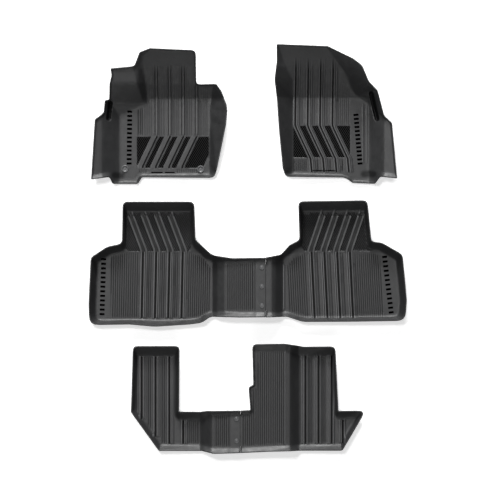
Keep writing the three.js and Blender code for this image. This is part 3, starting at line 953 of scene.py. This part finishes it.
def lathe(name, node, body, profile, turns=56):
    """A turned piece on a CAD node's axis. The profile is (radius, height) upward along its
    outside, in millimetres from the node's lowest point, closed on the axis or on itself."""
    low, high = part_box(node)
    centre = (low + high) / 2
    shape = bmesh.new()
    rings = []
    for radius, height in profile:
        z = low.z + height * MM
        if radius == 0:
            rings.append([shape.verts.new((centre.x, centre.y, z))])
            continue
        rings.append([
            shape.verts.new((
                centre.x + radius * MM * math.cos(2 * math.pi * k / turns),
                centre.y + radius * MM * math.sin(2 * math.pi * k / turns),
                z,
            ))
            for k in range(turns)
        ])
    for lower, upper in zip(rings, rings[1:]):
        for k in range(turns):
            n = (k + 1) % turns
            corners = [lower[k % len(lower)], lower[n % len(lower)],
                       upper[n % len(upper)], upper[k % len(upper)]]
            distinct = list(dict.fromkeys(corners))
            if len(distinct) > 2:
                shape.faces.new(distinct)
    bmesh.ops.remove_doubles(shape, verts=shape.verts, dist=1e-6)
    bmesh.ops.recalc_face_normals(shape, faces=shape.faces)
    mesh = bpy.data.meshes.new(name)
    shape.to_mesh(mesh)
    shape.free()
    mesh.materials.append(PLASTIC)
    mesh.polygons.foreach_set("use_smooth", np.ones(len(mesh.polygons), bool))
    mesh.set_sharp_from_angle(angle=math.radians(40))
    piece = bpy.data.objects.new(name, mesh)
    bpy.context.scene.collection.objects.link(piece)
    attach(piece, body)
    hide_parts(node)
    return piece


PIN = [
    (0, 0), (2.4, 0), (3.4, 0.5), (4.3, 2), (4.3, 3.5), (3.9, 4.5), (3.9, 17), (9.4, 17),
    (9.9, 17.3), (10, 17.8), (9.9, 18.5), (9.4, 19.2), (8.6, 19.65), (7.9, 19.7), (7.2, 19.3),
    (6.4, 18.9), (5.7, 18.9), (5.2, 19.3), (4.4, 19.85), (3.2, 20.1), (1.6, 20.25), (0, 20.3),
]
WASHER = [(4.7, 0.3), (5, 0), (8.6, 0), (9, 0.4), (9, 1.6), (8.6, 2), (5, 2), (4.7, 1.7), (4.7, 0.3)]
CAP = [
    (0, 0), (10.6, 0), (11, 0.4), (11, 4), (16.1, 4), (16.5, 4.4), (16.5, 5.2), (16.1, 6.2),
    (15.3, 7.3), (14.3, 7.9), (13.2, 8), (12.2, 7.75), (11.2, 7.1), (9.9, 6), (8.5, 4.9),
    (6.6, 4.4), (4.6, 4.35), (3.2, 4.8), (1.8, 5.2), (0, 5.35),
]
LOCK = [(11.3, 0.3), (11.6, 0), (15.6, 0), (16, 0.4), (16, 1.3), (15.6, 1.7), (11.6, 1.7),
        (11.3, 1.4), (11.3, 0.3)]

for row, count in (("second_row", 3), ("third_row", 2)):
    for k in range(1, count + 1):
        lathe(f"{row}_pin_turned_{k}", f"{row}_snap_pin_{k}", f"{row}_pin_{k}", PIN)
        lathe(f"{row}_washer_turned_{k}", f"{row}_snap_washer_{k}", f"{row}_right", WASHER)
for side in ("left", "right"):
    lathe(f"{side}_cap_turned", f"{side}_retainer_cap", "driver", CAP)
    lathe(f"{side}_lock_turned", f"{side}_lock_ring", "driver", LOCK)


# ---- Floor, lights and camera ----

FLOOR_REACH, FLOOR_LEVEL = 40, -0.0005
FLOOR_GLOW = (0.45, 1.0)  # of the studio floor, near the mats and far off
FLOOR_FADE = (3.0, 8.0)  # the distances between which one becomes the other
SKY_GLOW = (0.04, 1.0)  # as the mats are lit by it, and as it is seen
SPAN, LENS = 2.2, 400.0  # what the picture shows across, and a lens long enough to see it square on
CENTRE = (0.010, -0.003)


def floor_material():
    made = bpy.data.materials.new("studio_floor")
    made.use_nodes = True
    tree = made.node_tree
    shader = next(n for n in tree.nodes if n.type == "BSDF_PRINCIPLED")
    shader.inputs["Base Color"].default_value = (0.92, 0.92, 0.92, 1)
    shader.inputs["Roughness"].default_value = 0.9
    shader.inputs["Emission Color"].default_value = (1, 1, 1, 1)
    place = tree.nodes.new("ShaderNodeNewGeometry")
    distance = tree.nodes.new("ShaderNodeVectorMath")
    distance.operation = "LENGTH"
    tree.links.new(place.outputs["Position"], distance.inputs[0])
    glow = map_range(tree, distance.outputs["Value"], FLOOR_FADE, FLOOR_GLOW)
    tree.links.new(glow, shader.inputs["Emission Strength"])
    return made


corners = [(-1, -1), (1, -1), (1, 1), (-1, 1)]
mesh = bpy.data.meshes.new("studio_floor")
mesh.from_pydata([(x * FLOOR_REACH, y * FLOOR_REACH, FLOOR_LEVEL) for x, y in corners],
                 [], [(0, 1, 2, 3)])
mesh.materials.append(floor_material())
ground = bpy.data.objects.new("studio_floor", mesh)
bpy.context.scene.collection.objects.link(ground)

# Each softbox points at the middle of the set: name, place, size and power. The top one makes
# the flats shine, the high one throws the short shadows, the front one lights the walls at the
# rear, and the rear one lights the toe-boards.
SOFTBOXES = [
    ("top_softbox", (0, -1.5, 10), (4, 4), 190),
    ("high_softbox", (-3.0, 3.0, 7.9), (1.5, 1.5), 320),
    ("front_softbox", (-0.6, 12.8, 6.6), (5.6, 3.2), 3070),
    ("rear_softbox", (0, -8.0, 4.6), (4, 1.5), 110),
]
for name, place, size, power in SOFTBOXES:
    light = bpy.data.lights.new(name, "AREA")
    light.shape = "RECTANGLE"
    light.size, light.size_y = size
    light.energy = power
    lamp = bpy.data.objects.new(name, light)
    lamp.location = place
    lamp.rotation_euler = (-Vector(place)).to_track_quat("-Z", "Y").to_euler()
    bpy.context.scene.collection.objects.link(lamp)

world = bpy.data.worlds.new("studio")
world.use_nodes = True
sky = world.node_tree.nodes["Background"]
sky.inputs["Color"].default_value = (1, 1, 1, 1)
path = world.node_tree.nodes.new("ShaderNodeLightPath")
seen = map_range(world.node_tree, path.outputs["Is Camera Ray"], (0, 1), SKY_GLOW)
world.node_tree.links.new(seen, sky.inputs["Strength"])
bpy.context.scene.world = world
bpy.context.scene.view_settings.view_transform = "Standard"

camera = bpy.data.cameras.new("camera")
camera.lens = LENS
camera.clip_end = 200
eye = bpy.data.objects.new("camera", camera)
eye.location = (*CENTRE, SPAN * LENS / camera.sensor_width)
bpy.context.scene.collection.objects.link(eye)
bpy.context.scene.camera = eye
